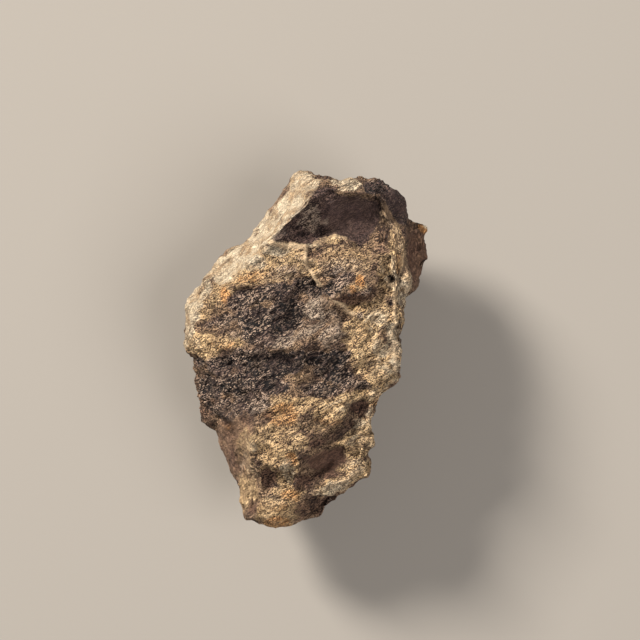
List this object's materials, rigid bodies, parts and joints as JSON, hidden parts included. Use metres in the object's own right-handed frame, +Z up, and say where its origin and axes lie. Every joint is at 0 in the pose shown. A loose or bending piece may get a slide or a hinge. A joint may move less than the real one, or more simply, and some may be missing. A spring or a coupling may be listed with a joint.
{
  "type": "stony meteorite",
  "caption": "Broken, weathered fragment of an ordinary chondrite with a hollow below its peak, lying on a small flat spot.",
  "frame": {"origin": "middle of the stone's plan, on the surface that its small flat spot rests on", "axes": "+Z up, out of the broad broken face; +Y along the stone's length, towards the blunt end with the peak and the hollow; +X across, towards the thin flange"},
  "size_m": [0.0292, 0.0424, 0.0171],
  "materials": {
    "stone": "matte, crumbly, weathered brown with dark crust and rust-orange stains"
  },
  "bodies": {
    "root": {"meteorite": "stone"}
  },
  "joints": []
}
